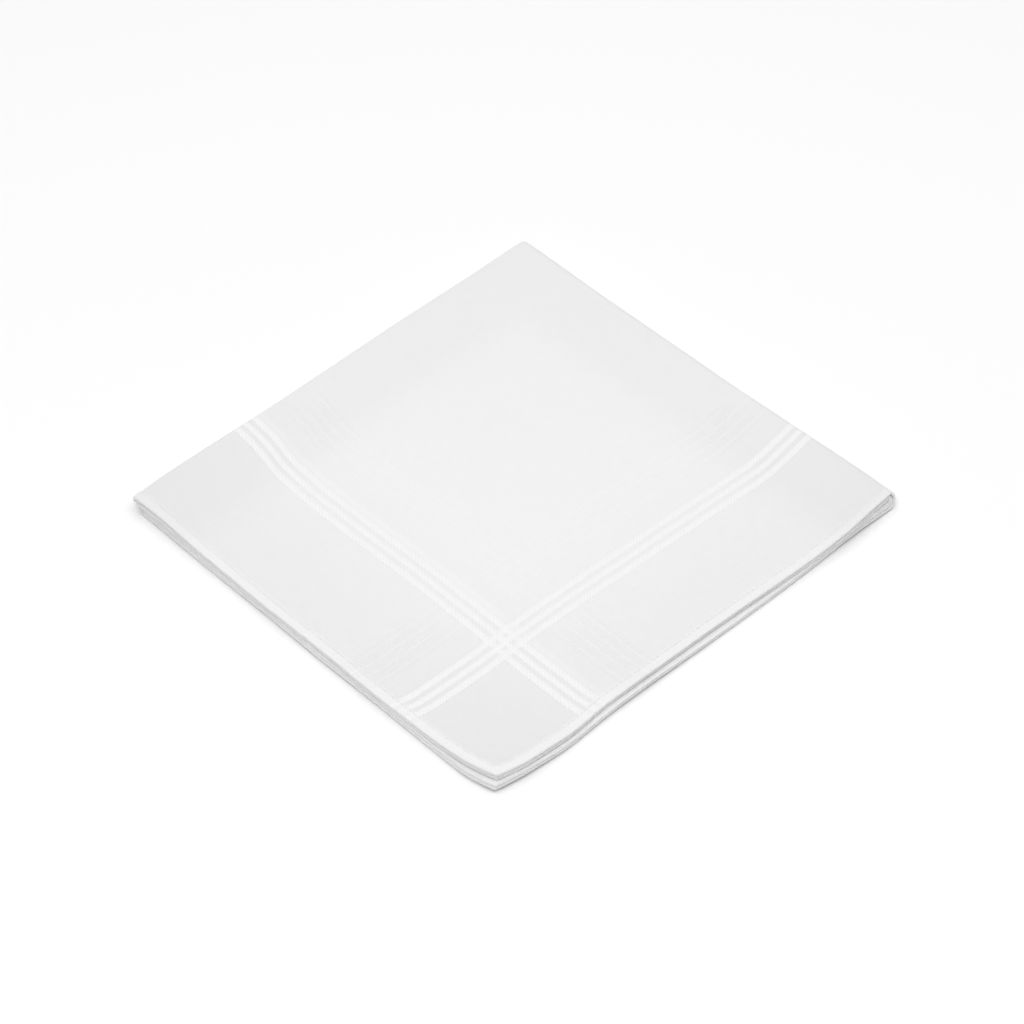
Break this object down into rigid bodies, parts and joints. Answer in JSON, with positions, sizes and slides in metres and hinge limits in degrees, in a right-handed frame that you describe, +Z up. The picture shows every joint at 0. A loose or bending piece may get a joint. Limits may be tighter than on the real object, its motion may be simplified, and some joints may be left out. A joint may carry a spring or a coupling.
{
  "type": "folded cotton handkerchief",
  "caption": "White cotton handkerchief folded into a quarter of its size, hemmed all round, with woven satin stripes inside the hems. It lies flat on a surface.",
  "frame": {"origin": "middle of the folded square's footprint, on the surface that it lies on", "axes": "+Z up through the four layers; the two folds lie at -X and +Y, and the open hems at +X and -Y"},
  "size_m": [0.2032, 0.211, 0.0073],
  "materials": {
    "cotton": "fine white plain-weave cotton, matt, with slightly brighter satin stripes and a plain hem"
  },
  "bodies": {
    "root": {"handkerchief": "cotton"}
  },
  "joints": []
}
